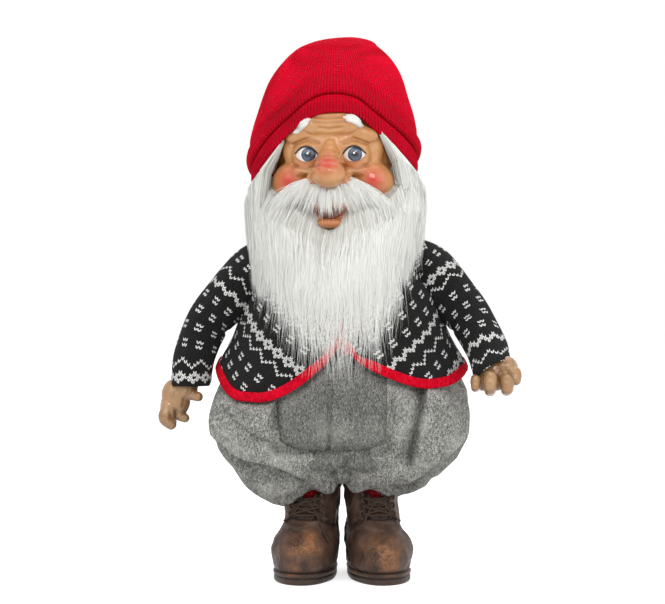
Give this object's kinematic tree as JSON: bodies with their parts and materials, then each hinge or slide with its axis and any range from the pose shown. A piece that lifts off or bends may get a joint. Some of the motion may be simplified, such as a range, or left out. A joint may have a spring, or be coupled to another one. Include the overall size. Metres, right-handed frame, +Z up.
{
  "type": "gnome doll",
  "caption": "Standing bearded gnome doll in a knitted cap, patterned cardigan, puffed felt breeches and cast boots; the head turns, the arms lift and the hands turn.",
  "frame": {"origin": "on the ground under the middle of the bounding box", "axes": "+Z up, the doll faces -Y, its own left hand is on +X"},
  "size_m": [0.2964, 0.17, 0.4502],
  "materials": {
    "boot": "painted cast resin, worn",
    "sole": "painted cast resin",
    "sock": "knit",
    "wood": "plain",
    "felt": "mottled wool felt",
    "elastic": "matt",
    "filling": "polyester fibre",
    "wire": "drawn",
    "string": "twisted cord",
    "knit": "patterned knit",
    "trim": "felt binding",
    "vinyl": "painted vinyl",
    "fur": "long pile",
    "cap": "ribbed knit"
  },
  "bodies": {
    "torso": {"left_boot": "boot", "right_boot": "boot", "left_boot_sole": "sole", "right_boot_sole": "sole", "left_sock": "sock", "right_sock": "sock", "left_leg_post": "wood", "right_leg_post": "wood", "hip_block": "wood", "breeches_front_panel": "felt", "breeches_back_panel": "felt", "left_breeches_leg": "felt", "right_breeches_leg": "felt", "left_hem_elastic": "elastic", "right_hem_elastic": "elastic", "breeches_filling": "filling", "chest_filling": "filling", "shoulder_wire": "wire", "neck_tie": "string", "cardigan_body": "knit", "cardigan_trim": "trim"},
    "head": {"head_shell": "vinyl", "hair": "fur", "moustache": "fur", "beard": "fur", "cap_crown": "cap", "cap_band": "cap"},
    "left_arm": {"left_sleeve": "knit", "left_arm_filling": "filling", "left_arm_wire": "wire"},
    "right_arm": {"right_sleeve": "knit", "right_arm_filling": "filling", "right_arm_wire": "wire"},
    "left_hand": {"left_hand": "vinyl"},
    "right_hand": {"right_hand": "vinyl"}
  },
  "joints": [
    {"name": "head_turn", "type": "hinge", "parent": "torso", "child": "head", "pos_m": [-0.00053, 0.00917, 0.288], "axis": [0, 0, 1], "range_deg": [-18, 18]},
    {"name": "left_arm_raise", "type": "hinge", "parent": "torso", "child": "left_arm", "pos_m": [0.07647, 0.00917, 0.252], "axis": [0, -1, 0], "range_deg": [0, 45]},
    {"name": "right_arm_raise", "type": "hinge", "parent": "torso", "child": "right_arm", "pos_m": [-0.07154, 0.00917, 0.252], "axis": [0, 1, 0], "range_deg": [0, 45]},
    {"name": "left_hand_turn", "type": "hinge", "parent": "left_arm", "child": "left_hand", "pos_m": [0.12368, -0.04794, 0.1754], "axis": [0.1798, -0.7193, -0.671], "range_deg": [-20, 20]},
    {"name": "right_hand_turn", "type": "hinge", "parent": "right_arm", "child": "right_hand", "pos_m": [-0.12376, -0.00383, 0.16055], "axis": [-0.1715, -0.1564, -0.9727], "range_deg": [-20, 20]}
  ]
}
